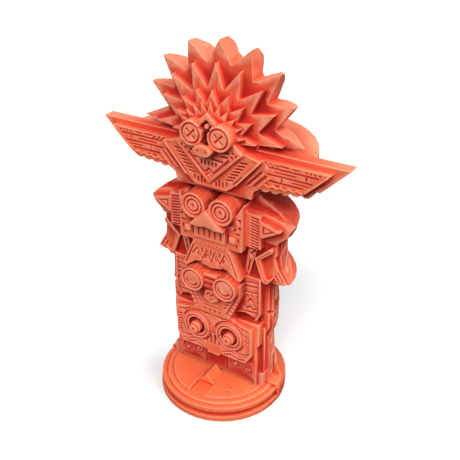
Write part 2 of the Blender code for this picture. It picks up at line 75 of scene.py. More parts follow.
@dataclass(frozen=True)
class CarvingSheet:
    """The drawing sheet of the carving, and where it lies in the sculpture's frame.

    Args:
        totem_height: Height of the totem in metres.
        sheet_height: The same height on the sheet, in millimetres.
        sheet_foot: Where the totem's foot lies on the sheet, in millimetres.
        base_level: Level of the totem's foot in metres.
        layer: Thickness of one layer in metres.
    """

    totem_height: float = 0.1915
    sheet_height: float = 191.5
    sheet_foot: float = 11.3
    base_level: float = 0.0113
    layer: float = 0.0036

    @property
    def share(self) -> float:
        """Metres for one sheet millimetre."""
        return self.totem_height / self.sheet_height

    def place(self, point: Point, level: float, facing: Facing) -> Vector:
        """Turn a drawn point into a place in the sculpture's frame.

        Args:
            point: x and z for the front, x and y for the top, y and z for a side, in millimetres.
            level: Place of the face along the way it looks, in metres.
            facing: Which way the face looks.

        Returns:
            The place in metres.
        """
        across, up = point
        if facing is Facing.TOP:
            return Vector((across * self.share, up * self.share, level))
        height = self.base_level + (up - self.sheet_foot) * self.share
        if facing is Facing.FRONT:
            return Vector((across * self.share, level, height))
        return Vector((level, across * self.share, height))

    def face(self, number: float) -> float:
        """Depth of a layer's front face: layer 0 is the outline, higher layers stand in front."""
        return -number * self.layer


SHEET = CarvingSheet()


def mirrored(half: Sequence[Point]) -> Outline:
    """Close a right-hand outline, listed from top to bottom, with its mirror image."""
    return list(half) + [(-x, z) for x, z in reversed(half) if x > 0.0]


def both(outlines: Iterable[Outline]) -> list[Outline]:
    """Return outlines together with their mirror images."""
    kept = [list(outline) for outline in outlines]
    return kept + [[(-x, z) for x, z in reversed(outline)] for outline in kept]


def disc(cx: float, cz: float, radius: float, sides: int) -> Outline:
    """Outline of a circle."""
    turns = [2 * math.pi * k / sides for k in range(sides)]
    return [(cx + radius * math.cos(t), cz + radius * math.sin(t)) for t in turns]


def ring(cx: float, cz: float, outer: float, inner: float, sides: int = 28) -> list[Outline]:
    """Two C shapes that make up a flat ring.

    Args:
        cx: Centre across.
        cz: Centre up.
        outer: Outer radius.
        inner: Inner radius.
        sides: Corners round the whole ring.

    Returns:
        The two outlines.
    """
    halves = []
    steps, overlap = sides // 2, 0.02
    for start in (0.0, math.pi):
        turns = [start - overlap + (math.pi + 2 * overlap) * k / steps for k in range(steps + 1)]
        half = [(cx + outer * math.cos(t), cz + outer * math.sin(t)) for t in turns]
        half += [(cx + inner * math.cos(t), cz + inner * math.sin(t)) for t in reversed(turns)]
        halves.append(half)
    return halves


def box(x0: float, x1: float, z0: float, z1: float) -> Outline:
    """Outline of an upright rectangle."""
    return [(x0, z0), (x1, z0), (x1, z1), (x0, z1)]


def stroke(points: Sequence[Point], width: float) -> Outline:
    """Outline of a bent line of even width with mitred corners.

    Args:
        points: The line's points, at least two.
        width: Width across the line.

    Returns:
        One closed outline.
    """
    # This holds the mitre of a sharp corner to about three half-widths.
    least_turn = 0.35
    left, right = [], []
    for k, (x, z) in enumerate(points):
        before = points[max(k - 1, 0)]
        after = points[min(k + 1, len(points) - 1)]
        into = Vector((x - before[0], z - before[1]))
        out = Vector((after[0] - x, after[1] - z))
        into = into.normalized() if into.length else out.normalized()
        out = out.normalized() if out.length else into
        along = (into + out).normalized()
        normal = Vector((-along.y, along.x))
        reach = width / 2 / max(least_turn, normal.dot(Vector((-into.y, into.x))))
        left.append((x + normal.x * reach, z + normal.y * reach))
        right.append((x - normal.x * reach, z - normal.y * reach))
    return left + right[::-1]


def cross(cx: float, cz: float, reach: float, width: float) -> Outline:
    """Outline of a diagonal cross.

    Args:
        cx: Centre across.
        cz: Centre up.
        reach: Half the cross's breadth.
        width: Width of its arms.

    Returns:
        One closed outline.
    """
    arm, half = 1.4 * reach, 0.5 * width
    outline = []
    for k in range(4):
        angle = math.radians(45.0 + 90.0 * k)
        right, up = math.cos(angle), math.sin(angle)
        for far, aside in ((arm, -half), (arm, half), (half, half)):
            outline.append((cx + far * right - aside * up, cz + far * up + aside * right))
    return outline


def hatch(start: Point, end: Point, count: int, stroke_vector: Point, width: float) -> list[Outline]:
    """A row of parallel short strokes.

    Args:
        start: Middle of the first stroke.
        end: Middle of the last stroke.
        count: Number of strokes.
        stroke_vector: Run of one stroke across and up.
        width: Width of a stroke.

    Returns:
        One outline for each stroke.
    """
    rows = []
    for k in range(count):
        share = k / max(count - 1, 1)
        cx, cz = start[0] + (end[0] - start[0]) * share, start[1] + (end[1] - start[1]) * share
        dx, dz = stroke_vector[0] / 2, stroke_vector[1] / 2
        rows.append(stroke([(cx - dx, cz - dz), (cx + dx, cz + dz)], width))
    return rows


def zigzag(start: Point, end: Point, teeth: int, height: float) -> list[Point]:
    """Points of a zigzag line between two points.

    Args:
        start: First point.
        end: Last point.
        teeth: Number of peaks.
        height: Height of the peaks, to the left of the run.

    Returns:
        The points of the line.
    """
    run = Vector((end[0] - start[0], end[1] - start[1]))
    side = Vector((-run.y, run.x)).normalized() * height
    points = []
    for k in range(2 * teeth + 1):
        at = Vector(start) + run * k / (2 * teeth) + side * (k % 2)
        points.append((at.x, at.y))
    return points


def spiral(cx: float, cz: float, outer: float, turns: float, start: float, width: float) -> Outline:
    """A curl that winds inwards.

    Args:
        cx: Centre across.
        cz: Centre up.
        outer: Radius where the curl starts.
        turns: Number of turns; negative winds clockwise.
        start: Angle of the start in degrees.
        width: Width of the line.

    Returns:
        The curl's outline.
    """
    closing, corners_a_turn = 0.72, 14
    steps = max(8, int(abs(turns) * corners_a_turn))
    points = []
    for k in range(steps + 1):
        share = k / steps
        angle = math.radians(start) + 2 * math.pi * turns * share
        radius = outer * (1.0 - closing * share)
        points.append((cx + radius * math.cos(angle), cz + radius * math.sin(angle)))
    return stroke(points, width)


def arc(cx: float, cz: float, radius: float, start: float, end: float, width: float) -> Outline:
    """Part of a ring.

    Args:
        cx: Centre across.
        cz: Centre up.
        radius: Radius of the line's middle.
        start: Angle of the start in degrees.
        end: Angle of the end in degrees.
        width: Width of the line.

    Returns:
        The closed outline.
    """
    degrees_a_step = 14
    steps = max(4, int(abs(end - start) / degrees_a_step))
    turns = [math.radians(start + (end - start) * k / steps) for k in range(steps + 1)]
    return stroke([(cx + radius * math.cos(t), cz + radius * math.sin(t)) for t in turns], width)


def deselect_all() -> None:
    """Leave nothing selected and no object in edit mode."""
    if bpy.context.object and bpy.context.object.mode != "OBJECT":
        bpy.ops.object.mode_set(mode="OBJECT")
    bpy.ops.object.select_all(action="DESELECT")


def make_active(item: bpy.types.Object) -> None:
    """Select one object alone and make it the active one."""
    deselect_all()
    item.select_set(True)
    bpy.context.view_layer.objects.active = item


def prisms(outlines: Sequence[Outline], near: float, far: float, facing: Facing) -> bpy.types.Object:
    """Draw outlines as flat faces in one mesh and extrude them all from one level to another.

    Args:
        outlines: Closed outlines.
        near: Level of the first faces, in metres.
        far: Level of the last faces, in metres.
        facing: Which way the carved face looks.

    Returns:
        The new object, with its place in its mesh.
    """
    deselect_all()
    for number, outline in enumerate(outlines):
        bpy.ops.mesh.primitive_circle_add(
            vertices=len(outline), radius=0.001, fill_type="NGON", enter_editmode=number == 0,
            location=(0, 0, 0),
        )
        drawn = bmesh.from_edit_mesh(bpy.context.object.data)
        for vert, point in zip([v for v in drawn.verts if v.select], outline):
            vert.co = SHEET.place(point, near, facing)
    item = bpy.context.object
    bmesh.update_edit_mesh(item.data)
    bpy.ops.mesh.select_all(action="SELECT")
    run = SHEET.place((0.0, 0.0), far, facing) - SHEET.place((0.0, 0.0), near, facing)
    bpy.ops.mesh.extrude_region_move(TRANSFORM_OT_translate={"value": run})
    bpy.ops.mesh.select_all(action="SELECT")
    bpy.ops.mesh.normals_make_consistent(inside=False)
    bpy.ops.object.mode_set(mode="OBJECT")
    return item


def evened(mesh: bpy.types.Mesh, values: np.ndarray, rounds: int) -> np.ndarray:
    """Even out values over a mesh, so that only their broad change is left.

    Args:
        mesh: A mesh of even, small faces.
        values: One row for each vertex.
        rounds: Number of times that each value moves half-way to its neighbours' mean.

    Returns:
        The evened values.
    """
    count = len(mesh.vertices)
    ends = np.empty(len(mesh.edges) * 2, dtype=np.int64)
    mesh.edges.foreach_get("vertices", ends)
    first, second = ends[0::2], ends[1::2]
    share = 0.5 / np.maximum(np.bincount(ends, minlength=count), 1)
    even = values.copy()
    for _ in range(rounds):
        for axis in range(even.shape[1]):
            line = even[:, axis]
            total = np.bincount(first, line[second], count) + np.bincount(second, line[first], count)
            even[:, axis] = 0.5 * line + share * total
    return even


def rows_of(layer: bpy.types.bpy_prop_collection, name: str) -> np.ndarray:
    """Read one vector of each item as the rows of an array.

    Args:
        layer: The items, such as a mesh's vertices.
        name: Name of the vector.

    Returns:
        The rows.
    """
    flat = np.empty(len(layer) * 3)
    layer.foreach_get(name, flat)
    return flat.reshape(-1, 3)


def ramp(values: np.ndarray, start: float, full: float) -> np.ndarray:
    """Rise evenly from 0 where a value is at start to 1 where it is at full."""
    return np.clip((values - start) / (full - start), 0.0, 1.0)


def apply_modifier(item: bpy.types.Object, kind: str, **settings: object) -> None:
    """Add one modifier, give it its settings and apply it.

    Args:
        item: The object.
        kind: Type name of the modifier.
        **settings: The modifier's settings.
    """
    modifier = item.modifiers.new(kind.lower(), kind)
    for key, value in settings.items():
        setattr(modifier, key, value)
    make_active(item)
    bpy.ops.object.modifier_apply(modifier=modifier.name)


@dataclass
class RoundBack:
    """The plain back: slanting flutes that meet in a row of chevrons down the middle.

    Args:
        reaches: Lowest and highest level of each fluted stretch, in millimetres.
        pitch: Height from one pair of flutes to the next.
        rise: Height that a flute climbs from the side to the middle of the back.
        pair: Height between the two flutes of a pair.
        width: Width of a flute, measured upwards.
        depth: Depth of a flute.
        fade: Height over which a flute ends.
    """

    reaches: tuple[Span, ...] = ((14.0, 58.5), (62.5, 79.5), (84.5, 103.5))
    pitch: float = 15.0
    rise: float = 38.0
    pair: float = 5.2
    width: float = 2.6
    depth: float = 1.5
    fade: float = 1.5

    def flute(self, mesh: bpy.types.Mesh) -> None:
        """Press the flutes into a fine mesh.

        Args:
            mesh: The casting's mesh, of even, small faces.
        """
        places = rows_of(mesh.vertices, "co")
        count = len(places)
        x, y, z = (places[:, axis] * 1000 for axis in range(3))
        climb = z + self.rise * (np.abs(np.arctan2(x, y)) / (math.pi / 2))
        press = np.zeros(count)
        for start in (0.0, self.pair):
            away = np.abs((climb - start + self.pitch / 2) % self.pitch - self.pitch / 2)
            press = np.maximum(press, np.clip(1.0 - (2 * away / self.width) ** 2, 0.0, 1.0))
        within = np.zeros(count)
        for low, high in self.reaches:
            within = np.maximum(within, ramp(np.minimum(z - low, high - z), 0.0, self.fade))
        normals = rows_of(mesh.vertex_normals, "vector")
        outward = np.stack([x, y], axis=1) / np.maximum(np.hypot(x, y), 1.0)[:, None]
        # Only walls that look outwards, and that lie behind the plates, are fluted.
        facing = ramp((normals[:, :2] * outward).sum(axis=1), 0.3, 0.8)
        behind = ramp(y, 1.0, 3.0)
        depth = press * within * facing * behind * self.depth / 1000
        places[:, :2] -= outward * depth[:, None]
        mesh.vertices.foreach_set("co", places.ravel())
        mesh.update()


# Turn and height in degrees of the parts of the sky that a sheltered place may be hidden from.
SKY = ((-90, 32), (-30, 38), (30, 38), (150, 38), (210, 38), (-90, 65), (0, 62), (90, 62), (180, 62))


@dataclass(frozen=True)
class DeepShade:
    """Places of the totem that the photograph shows in deep shade: its foot and the crest's inner walls.

    Each span says where the shade starts and where it is full. Heights and depths are metres, and
    depths run from the front, where they are negative, to the back.

    Args:
        foot_height: Heights at the foot.
        foot_depth: Depths at the foot.
        foot_strength: Share that the foot adds.
        crest_height: Heights in the crest.
        crest_depth: Depths that leave out the crest's rear.
        star_depth: Depths that leave out the star in front of it.
        crest_strength: Share that the crest's walls add.
        ahead: Y part of a wall's direction, which leaves out walls that don't look forward.
    """

    foot_height: Span = (0.031, 0.017)
    foot_depth: Span = (-0.001, -0.004)
    foot_strength: float = 1.1
    crest_height: Span = (0.152, 0.156)
    crest_depth: Span = (0.001, 0.0)
    star_depth: Span = (-0.0103, -0.0093)
    crest_strength: float = 0.42
    ahead: Span = (-0.45, -0.95)

    def over(self, places: np.ndarray, normals: np.ndarray) -> np.ndarray:
        """Shade at each vertex.

        Args:
            places: Places of the vertices.
            normals: Directions that they look in.

        Returns:
            The share that the shade adds for each vertex.
        """
        depths, heights = places[:, 1], places[:, 2]
        foot = ramp(heights, *self.foot_height) * ramp(depths, *self.foot_depth)
        crest = ramp(heights, *self.crest_height) * ramp(depths, *self.crest_depth)
        walls = ramp(normals[:, 1], *self.ahead) * ramp(depths, *self.star_depth)
        return self.foot_strength * foot + self.crest_strength * crest * walls


@dataclass
class Casting:
    """A cast piece that takes its form from its solid, with carving added and edges softened.

    Args:
        name: Name of the finished piece.
        node: Name of the solid that it stands for.
        fineness: Grid in metres that edges and creases are softened to.
        most_triangles: Upper limit of the finished mesh.
        back: Flutes of its back, or none.
        shade: Its places in deep shade, or none.
        raised: Shapes that are joined to it.
        sunk: Shapes that are taken out of it.
        body: Its mesh.
    """

    name: str
    node: str
    fineness: float
    most_triangles: int
    back: RoundBack | None = None
    shade: DeepShade | None = None
    raised: list[bpy.types.Object] = field(default_factory=list)
    sunk: list[bpy.types.Object] = field(default_factory=list)
    body: bpy.types.Object | None = None

    def start(self, nodes: dict[str, bpy.types.Object]) -> None:
        """Copy the solid's mesh and merge its loose triangles.

        Args:
            nodes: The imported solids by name.
        """
        self.body = bpy.data.objects.new(self.name, nodes[self.node].data.copy())
        bpy.context.scene.collection.objects.link(self.body)
        make_active(self.body)
        bpy.ops.object.mode_set(mode="EDIT")
        bpy.ops.mesh.select_all(action="SELECT")
        bpy.ops.mesh.remove_doubles(threshold=1e-6)
        bpy.ops.object.mode_set(mode="OBJECT")
        self.body.data.materials.clear()

    def rise(self, outlines: Sequence[Outline], layer: float, height: float) -> None:
        """Raise outlines from a front face.

        Args:
            outlines: Closed outlines on the sheet.
            layer: Layer number of the face that they stand on.
            height: How far they stand out, in millimetres.
        """
        face, root = SHEET.face(layer), 0.0006
        self.raised.append(prisms(outlines, face - height / 1000, face + root, Facing.FRONT))

    def sink(self, outlines: Sequence[Outline], layer: float, depth: float) -> None:
        """Sink outlines into a front face.

        Args:
            outlines: Closed outlines on the sheet.
            layer: Layer number of the face.
            depth: How deep they go, in millimetres.
        """
        face, clearance = SHEET.face(layer), 0.0002
        self.sunk.append(prisms(outlines, face - clearance, face + depth / 1000, Facing.FRONT))

    def soften(self) -> None:
        """Round all edges and creases, as a soft mould leaves them, and press in the back's flutes."""
        apply_modifier(self.body, "REMESH", mode="VOXEL", voxel_size=self.fineness, adaptivity=0.0)
        if self.back:
            self.back.flute(self.body.data)
        apply_modifier(self.body, "SMOOTH", factor=0.5, iterations=1)

    def note_hollows(self, rounds: int = 16, reach: float = 0.00019) -> None:
        """Store how hollow the surface is at each vertex: 0 on an edge, 0.5 on a flat, 1 in a cut.

        Args:
            rounds: How far round a vertex its surroundings count.
            reach: Distance from the evened surface, in metres, that counts as a full cut or edge.
        """
        mesh = self.body.data
        true = rows_of(mesh.vertices, "co")
        away = ((evened(mesh, true, rounds) - true) * rows_of(mesh.vertex_normals, "vector")).sum(axis=1)
        # These values later paint shade into cuts and a highlight onto thin edges of the resin.
        store = mesh.attributes.new("hollow", "FLOAT", "POINT")
        store.data.foreach_set("value", np.clip(0.5 + away / (2 * reach), 0.0, 1.0))

    def behind_fronts(self, cell: float = 0.0008, spread: int = 9, reach: float = 0.0020) -> np.ndarray:
        """How far each vertex lies behind the fronts around it.

        Args:
            cell: Size of a cell of the map of fronts, in metres.
            spread: How many cells round a vertex its surroundings count.
            reach: Depth in metres that counts as a full recess.

        Returns:
            0 in front, 1 in a full recess, for each vertex.
        """
        mesh = self.body.data
        places, normals = rows_of(mesh.vertices, "co"), rows_of(mesh.vertex_normals, "vector")
        column = ((places[:, 0] - places[:, 0].min()) / cell).astype(int) + 2 * spread
        row = ((places[:, 2] - places[:, 2].min()) / cell).astype(int) + 2 * spread
        empty = 1.0
        front = np.full((row.max() + 2 * spread, column.max() + 2 * spread), empty)
        np.minimum.at(front, (row, column), places[:, 1])
        known = (front < empty).astype(float)
        front = front * known
        # Three even blurs across and up give the mean front round each cell, nearer ones counting more.
        for _ in range(3):
            for axis in (0, 1):
                front = sum(np.roll(front, step, axis) for step in range(-spread // 2, spread // 2 + 1))
                known = sum(np.roll(known, step, axis) for step in range(-spread // 2, spread // 2 + 1))
        around = front[row, column] / np.maximum(known[row, column], 1e-9)
        # Faces that look up catch light in a recess, and the back has no fronts before it.
        unlit = ramp(normals[:, 2], 0.71875, 0.09375)
        forward = ramp(places[:, 1], 0.016, 0.008)
        return ramp(places[:, 1] - around, 0.0, reach) * forward * unlit

    def sheltered(self, sight: float = 0.045) -> np.ndarray:
        """How much of the sky over each vertex the piece itself hides.

        Args:
            sight: Distance in metres beyond which nothing hides the sky.

        Returns:
            0 under the open sky, 1 under cover, for each vertex.
        """
        mesh = self.body.data
        tree = BVHTree.FromObject(self.body, bpy.context.evaluated_depsgraph_get())
        places, normals = rows_of(mesh.vertices, "co"), rows_of(mesh.vertex_normals, "vector")
        seen, hidden = np.zeros(len(places)), np.zeros(len(places))
        lift, grazing, evening = 0.0004, 0.08, 6
        starts = places + normals * lift
        for turn, height in SKY:
            a, e = math.radians(turn), math.radians(height)
            way = Vector((math.cos(a) * math.cos(e), math.sin(a) * math.cos(e), math.sin(e)))
            for k in np.flatnonzero(normals @ np.array(way) > grazing):
                seen[k] += 1.0
                if tree.ray_cast(starts[k], way, sight)[0] is not None:
                    hidden[k] += 1.0
        return evened(mesh, (hidden / np.maximum(seen, 1.0))[:, None], evening)[:, 0]

    def note_painted_shade(self, contrast: float = 1.5, open_air: float = 0.16, fronts: float = 0.6) -> None:
        """Store the painted shade at each vertex, from how much sky it is hidden from and how far it lies
        behind the fronts round it: 0 in the open, 1 in full painted shade.

        Args:
            contrast: How fast shelter turns into painted shade.
            open_air: Amount taken off, so that slight shelter counts for nothing.
            fronts: Share that lying behind the fronts around it adds.
        """
        mesh = self.body.data
        # Shade is painted where the piece hides the sky from a place, behind the fronts round it and at its
        # places in deep shade.
        value = np.clip(contrast * self.sheltered() - open_air, 0.0, 1.0) + fronts * self.behind_fronts()
        if self.shade:
            value += self.shade.over(rows_of(mesh.vertices, "co"), rows_of(mesh.vertex_normals, "vector"))
        store = mesh.attributes.new("painted_shade", "FLOAT", "POINT")
        store.data.foreach_set("value", np.clip(value, 0.0, 1.0))

    def finish(self) -> bpy.types.Object:
        """Take out what is sunk, join what is raised and soften the whole.

        Returns:
            The finished piece.
        """
        if self.sunk:
            make_active(self.sunk[0])
            for cutter in self.sunk[1:]:
                cutter.select_set(True)
            bpy.ops.object.join()
            cutter = bpy.context.object
            apply_modifier(
                self.body, "BOOLEAN", operation="DIFFERENCE", solver="EXACT", object=cutter, use_self=True
            )
            bpy.data.objects.remove(cutter, do_unlink=True)
        make_active(self.body)
        for item in self.raised:
            item.select_set(True)
        bpy.ops.object.join()
        self.soften()
        self.note_hollows()
        self.note_painted_shade()
        self.body.data.calc_loop_triangles()
        count = len(self.body.data.loop_triangles)
        if count > self.most_triangles:
            apply_modifier(self.body, "DECIMATE", ratio=self.most_triangles / count)
        make_active(self.body)
        crisp_from = math.radians(38.0)
        bpy.ops.object.shade_smooth_by_angle(angle=crisp_from)
        LOG.info("%s: %d triangles before, %d after", self.name, count, len(self.body.data.polygons))
        return self.body


@dataclass(frozen=True)
class ResinFinish:
    """Polyurethane casting resin, coloured through and taken from a soft mould.

    The mould leaves a satin skin with a faint mottle. Light goes a little way in. Thin edges get a painted
    highlight, and cuts and sheltered places get painted shade, a fuller and darker red than the open faces.

    Args:
        name: Name of the material.
        face_hex: Colour of the open faces, sRGB.
        mottle_hex: Colour of the faint mottle, sRGB.
        edge_highlight_hex: Colour of the painted highlight on thin edges, sRGB.
        cut_shade_hex: Colour of the painted shade in cuts and sheltered places, sRGB.
        deep_shade_hex: Colour of the painted shade at the bottom of the deepest recesses, sRGB.
        mottle_mm: Size of the mottle's patches.
        grain_mm: Size of the skin's grain.
    """

    name: str
    face_hex: str
    mottle_hex: str
    edge_highlight_hex: str
    cut_shade_hex: str
    deep_shade_hex: str
    mottle_mm: float = 9.0
    grain_mm: float = 0.9


class Studio(Enum):
    """The studio's tones, sRGB. SHADE is what the floor throws back at the sculpture."""

    FLOOR = "#fafbfc"
    FIBRE = "#fdfdfe"
    SHADE = "#5e5c5a"
    AIR = "#ffffff"
    WARM = "#fffaf4"


def linear(code: str) -> tuple[float, float, float, float]:
    """Turn an sRGB hex colour into a linear one.

    Args:
        code: Colour such as #ff8040.

    Returns:
        Red, green, blue and alpha.
    """
    parts = [int(code[k : k + 2], 16) / 255 for k in (1, 3, 5)]
    red, green, blue = (p / 12.92 if p <= 0.04045 else ((p + 0.055) / 1.055) ** 2.4 for p in parts)
    return (red, green, blue, 1.0)


def node(tree: bpy.types.NodeTree, kind: str, links: dict[str, object], **settings: object) -> bpy.types.Node:
    """Add one node with its settings and its inputs.

    Args:
        tree: Node tree that it goes in.
        kind: Type name of the node.
        links: Input name or number to a value, or to the output socket that feeds it.
        **settings: Properties of the node itself.

    Returns:
        The new node.
    """
    made = tree.nodes.new(kind)
    for key, value in settings.items():
        setattr(made, key, value)
    for key, value in links.items():
        if isinstance(value, bpy.types.NodeSocket):
            tree.links.new(value, made.inputs[key])
        else:
            made.inputs[key].default_value = value
    return made


def resin(finish: ResinFinish) -> bpy.types.Material:
    """Make the resin's material.

    Args:
        finish: The resin's colours and pattern sizes.

    Returns:
        The material.
    """
    made = bpy.data.materials.new(finish.name)
    made.use_nodes = True
    tree = made.node_tree
    shader = tree.nodes["Principled BSDF"]
    place = node(tree, "ShaderNodeTexCoord", {}).outputs["Object"]
    hollow = node(tree, "ShaderNodeAttribute", {}, attribute_name="hollow").outputs["Fac"]
    painted_shade = node(tree, "ShaderNodeAttribute", {}, attribute_name="painted_shade").outputs["Fac"]
    patches = node(
        tree, "ShaderNodeTexNoise", {"Vector": place, "Scale": 1000 / finish.mottle_mm, "Detail": 3.0}
    ).outputs["Fac"]
    tone = node(
        tree, "ShaderNodeMix", {0: patches, 6: linear(finish.face_hex), 7: linear(finish.mottle_hex)},
        data_type="RGBA",
    ).outputs[2]
    # Each layer: the value that drives it, where it starts and is full, its greatest share and its colour.
    # The first three paint shade into sheltered places, cuts and the deepest recesses; the last paints a
    # highlight onto thin edges.
    for value, start, full, most, code in (
        (painted_shade, 0.0, 1.0, 0.92, finish.cut_shade_hex),
        (hollow, 0.56, 0.95, 0.95, finish.cut_shade_hex),
        (painted_shade, 0.72, 1.0, 0.7, finish.deep_shade_hex),
        (hollow, 0.42, 0.0, 0.55, finish.edge_highlight_hex),
    ):
        share = node(
            tree, "ShaderNodeMapRange",
            {"Value": value, "From Min": start, "From Max": full, "To Min": 0.0, "To Max": most},
        )
        tone = node(
            tree, "ShaderNodeMix", {0: share.outputs["Result"], 6: tone, 7: linear(code)}, data_type="RGBA"
        ).outputs[2]
    tree.links.new(tone, shader.inputs["Base Color"])
    # The skin's grain is finer than the render shows, so it is drawn about three times coarser.
    grain = node(
        tree, "ShaderNodeTexNoise", {"Vector": place, "Scale": 1000 / finish.grain_mm, "Detail": 4.0}
    )
    rough = node(
        tree, "ShaderNodeMapRange",
        {"Value": patches, "From Min": 0.3, "From Max": 0.7, "To Min": 0.34, "To Max": 0.44},
    )
    # Where shade is painted the skin is also duller, which keeps grey sheen out of it.
    dulled = node(
        tree, "ShaderNodeMath", {0: painted_shade, 1: 0.25, 2: rough.outputs["Result"]}, operation="MULTIPLY_ADD"
    )
    tree.links.new(dulled.outputs[0], shader.inputs["Roughness"])
    bump = node(
        tree, "ShaderNodeBump", {"Strength": 0.12, "Distance": 0.0001, "Height": grain.outputs["Fac"]}
    )
    tree.links.new(bump.outputs["Normal"], shader.inputs["Normal"])
    shader.inputs["Metallic"].default_value = 0.0
    shader.inputs["IOR"].default_value = 1.5
    shader.inputs["Specular IOR Level"].default_value = 0.3
    shader.inputs["Subsurface Weight"].default_value = 0.2
    shader.inputs["Subsurface Radius"].default_value = (1.0, 0.3, 0.15)
    shader.inputs["Subsurface Scale"].default_value = 0.0009
    return made


# Each resin's last three colours are a painted highlight on edges, painted shade in cuts and painted deep
# shade.
CORAL_RESIN = ResinFinish("cast_coral_resin", "#f27c58", "#ee6c42", "#ffb698", "#cc281c", "#9c140c")
PLINTH_RESIN = ResinFinish("cast_orange_resin", "#ee744b", "#ec6d43", "#ff9c74", "#c8260f", "#a01a0c")


@dataclass
class Crest:
    """The spiked crest over the head.

    Args:
        centre: Level of the fan's centre.
        tip: Length of the small star's spikes.
        valley: Length up to the notches between them.
    """

    centre: float = 157.0
    tip: float = 18.8
    valley: float = 12.6

    def carve(self, casting: Casting) -> None:
        """Add a small star in front of the fans.

        Args:
            casting: The totem.
        """
        half: Outline = []
        spikes, spacing = 6, 16.0
        for k in range(spikes):
            for radius, turn in ((self.tip, k * spacing), (self.valley, (k + 0.5) * spacing)):
                angle = math.radians(turn)
                half.append((radius * math.sin(angle), self.centre + radius * math.cos(angle)))
        half.append((10.0, self.centre - 2.0))
        casting.raised.append(prisms([mirrored(half)], SHEET.face(2.42), SHEET.face(1.5), Facing.FRONT))


@dataclass
class WingedHead:
    """The first figure: a kite-shaped face with stitched eyes, its arms and its feathered wings.

    Args:
        eye: Centre of an eye, mirrored for the other.
        stitch: Half the breadth of the cross in an eye.
        fine: Width of a fine cut.
    """

    eye: Point = (7.9, 160.3)
    stitch: float = 2.3
    fine: float = 0.95

    def carve(self, casting: Casting) -> None:
        """Carve the face, the arms and the wings."""
        for carve in (self.carve_face, self.carve_arms, self.carve_wings):
            carve(casting)

    def carve_face(self, casting: Casting) -> None:
        """Cut the crosses, the whiskers, the lip and the teeth, and raise the roof over the eyes.

        Args:
            casting: The totem.
        """
        w = self.fine
        casting.sink(both([cross(*self.eye, self.stitch, w)]), 4, 0.95)
        cuts = both([
            stroke([(6.6, 152.4), (11.8, 152.7)], w),
            stroke([(6.9, 150.2), (10.9, 150.2)], w),
            stroke([(1.2, 147.8), (8.4, 147.2)], 1.1),
            disc(13.7, 153.1, 0.75, 8),
            disc(15.5, 151.9, 0.7, 8),
            disc(13.2, 150.9, 0.7, 8),
        ])
        grin = stroke([(-11.6, 149.1), (-2.5, 140.0), (0.0, 142.3), (2.5, 140.0), (11.6, 149.1)], 1.15)
        casting.sink(cuts + [grin] + hatch((-4.2, 145.1), (4.2, 145.1), 5, (0.0, 2.5), 0.9), 3.08, 1.0)
        for side in (-1, 1):
            casting.sink(ring(side * self.eye[0], self.eye[1], 5.35, 4.45), 4, 0.9)
        casting.rise([stroke([(-17.4, 152.4), (0.0, 135.6), (17.4, 152.4)], 0.9)], 3.08, 0.35)
        casting.sink([[(-4.6, 164.4), (0.0, 168.0), (4.6, 164.4), (0.0, 157.6)]], 3.08, 0.45)
        roof = stroke([(-9.4, 161.2), (0.0, 169.5), (9.4, 161.2)], 2.3)
        casting.rise([roof, disc(0.0, 164.4, 1.15, 12)], 3.08, 1.3)

    def carve_arms(self, casting: Casting) -> None:
        """Cut the hatched bands beside the face and the strokes under the chin, and line the arms.

        Args:
            casting: The totem.
        """
        casting.sink(both(hatch((18.9, 148.7), (10.9, 138.0), 7, (4.4, 0.5), self.fine)), 2.67, 1.0)
        chin = [
            ((3.2, 132.6), (3.2, 135.2)),
            ((5.2, 132.6), (5.2, 137.2)),
            ((7.2, 132.8), (7.2, 136.2)),
            ((9.3, 134.0), (9.3, 136.6)),
        ]
        casting.sink(both([stroke(list(line), self.fine) for line in chin]), 2.67, 1.0)
        casting.rise(both([stroke([(26.9, 150.2), (14.2, 135.9)], 1.0)]), 2.67, 0.5)
        stripes = [stroke([(28.9, 145.0), (21.2, 136.8)], 1.0), stroke([(31.7, 143.6), (25.6, 136.9)], 1.0)]
        casting.rise(both(stripes), 2, 0.6)

    def carve_wings(self, casting: Casting) -> None:
        """Cut the broken feather lines and raise the scalloped lower edge.

        Args:
            casting: The totem.
        """
        w = self.fine
        lines = [
            ((36.0, 150.6), (41.6, 150.5)), ((43.4, 150.4), (47.4, 150.4)),
            ((34.0, 147.0), (45.6, 147.0)), ((43.2, 143.5), (52.0, 143.5)),
            ((31.0, 148.7), (57.0, 148.7)), ((30.0, 145.2), (54.0, 145.2)),
            ((31.0, 141.9), (49.5, 141.9)), ((34.4, 140.1), (40.2, 139.9)),
            ((38.0, 142.4), (38.0, 144.8)), ((50.6, 145.8), (50.6, 148.2)),
        ]
        dots = [disc(x, 150.2, 0.65, 8) for x in (50.4, 52.7, 55.0, 57.3)]
        fans = hatch((30.6, 149.6), (36.0, 149.4), 3, (3.4, -3.0), w)
        casting.sink(both([stroke(list(line), w) for line in lines] + dots + fans), 2, 0.75)
        edge = stroke(zigzag((27.0, 138.2), (48.6, 139.2), 5, 1.1), 0.9)
        casting.rise(both([edge, stroke([(61.3, 150.6), (50.0, 139.9)], 0.9)]), 2, 0.45)


